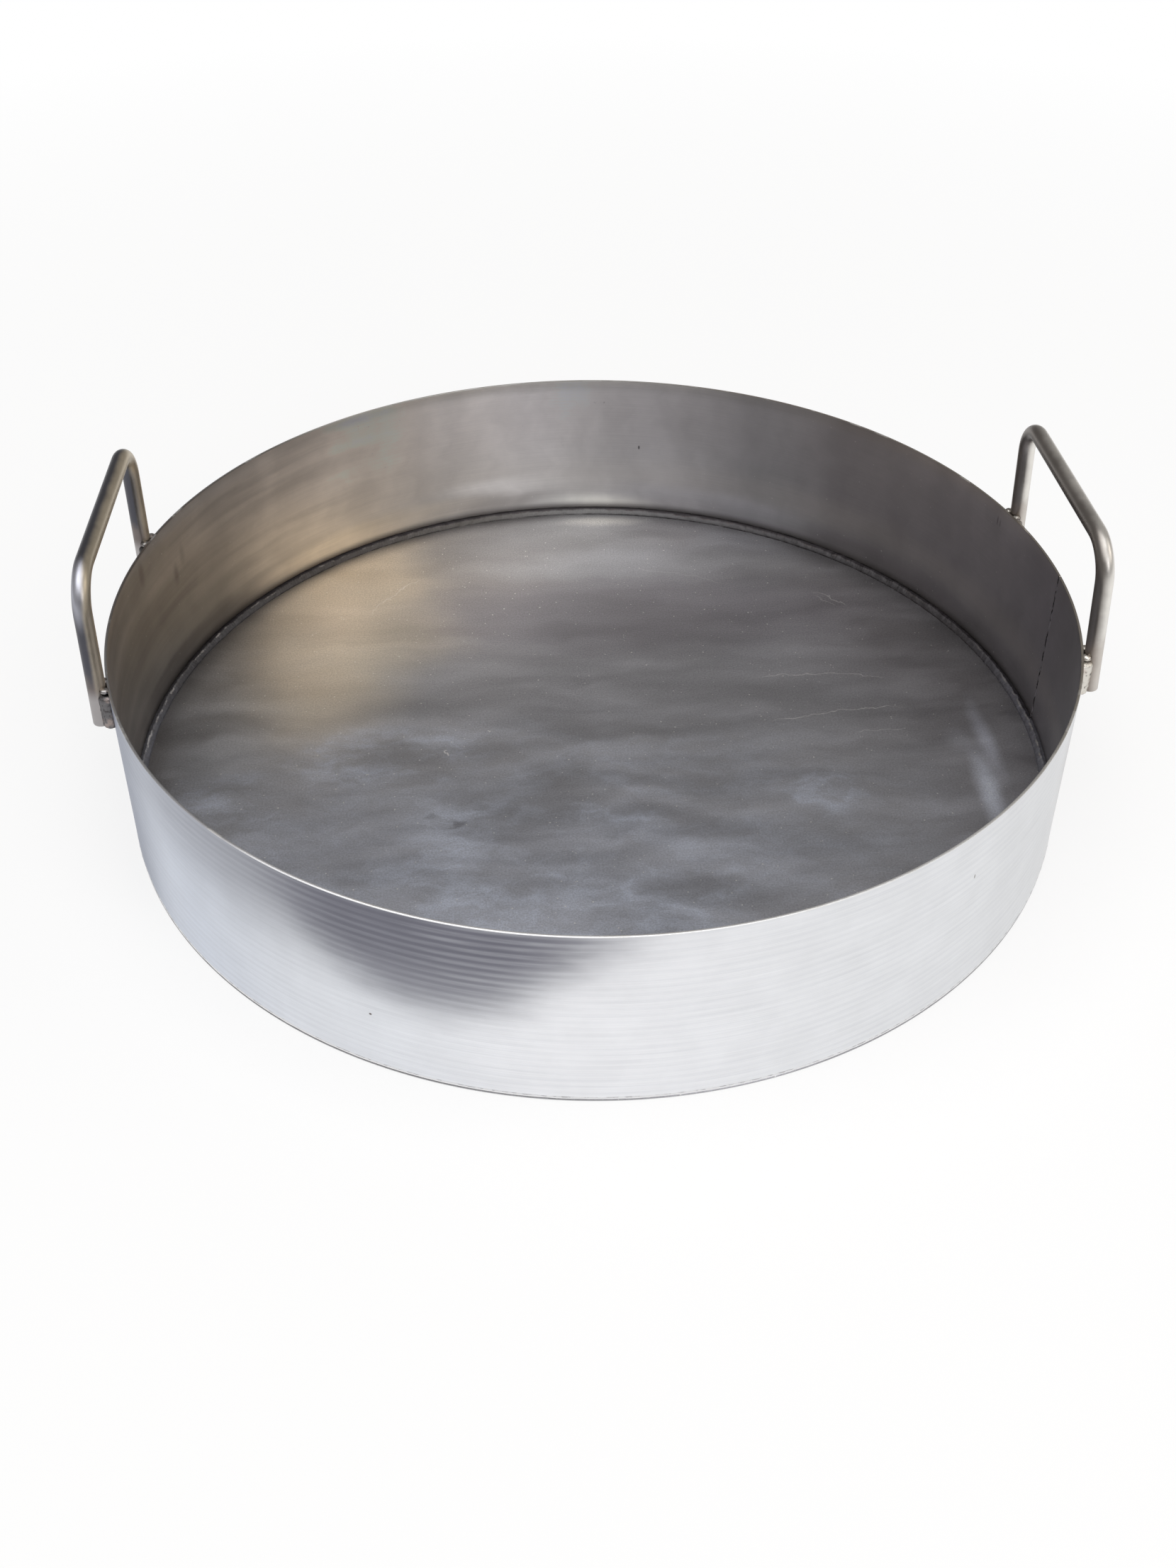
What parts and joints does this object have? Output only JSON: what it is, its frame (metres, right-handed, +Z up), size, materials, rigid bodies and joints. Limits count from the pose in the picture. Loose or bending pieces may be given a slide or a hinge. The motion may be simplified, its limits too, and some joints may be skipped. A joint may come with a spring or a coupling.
{
  "type": "round two-handled steel pan",
  "caption": "Flat-bottomed round pan with a straight upright wall and tall bent-bar lifting handles, welded from stainless steel, for washing, sorting or heating loose material.",
  "frame": {"origin": "centre of the pan's flat underside", "axes": "+Z up, +X from the pan's centre towards the handle beside the wall's seam, +Y level and square to the line of the handles"},
  "size_m": [0.4511, 0.4506, 0.147],
  "materials": {
    "wall_sheet": "satin stainless sheet with faint level rolling ripples round the wall",
    "base_sheet": "dull stainless sheet, cloudy with wiping marks and fine scratches",
    "handle_bar": "satin drawn stainless bar, smooth",
    "weld_metal": "rippled bare weld metal, bright on its crests and grey in its pits"
  },
  "bodies": {
    "root": {"wall_band": "wall_sheet", "base_plate": "base_sheet", "corner_weld_inside": "weld_metal", "groove_weld_outside": "weld_metal", "wall_seam_weld": "weld_metal", "right_handle_bar": "handle_bar", "right_handle_front_leg_outer_weld": "weld_metal", "right_handle_front_leg_outer_rim_tack": "weld_metal", "right_handle_front_leg_inner_weld": "weld_metal", "right_handle_front_leg_inner_rim_tack": "weld_metal", "right_handle_back_leg_outer_weld": "weld_metal", "right_handle_back_leg_outer_rim_tack": "weld_metal", "right_handle_back_leg_inner_weld": "weld_metal", "right_handle_back_leg_inner_rim_tack": "weld_metal", "left_handle_bar": "handle_bar", "left_handle_front_leg_outer_weld": "weld_metal", "left_handle_front_leg_outer_rim_tack": "weld_metal", "left_handle_front_leg_inner_weld": "weld_metal", "left_handle_front_leg_inner_rim_tack": "weld_metal", "left_handle_back_leg_outer_weld": "weld_metal", "left_handle_back_leg_outer_rim_tack": "weld_metal", "left_handle_back_leg_inner_weld": "weld_metal", "left_handle_back_leg_inner_rim_tack": "weld_metal"}
  },
  "joints": []
}
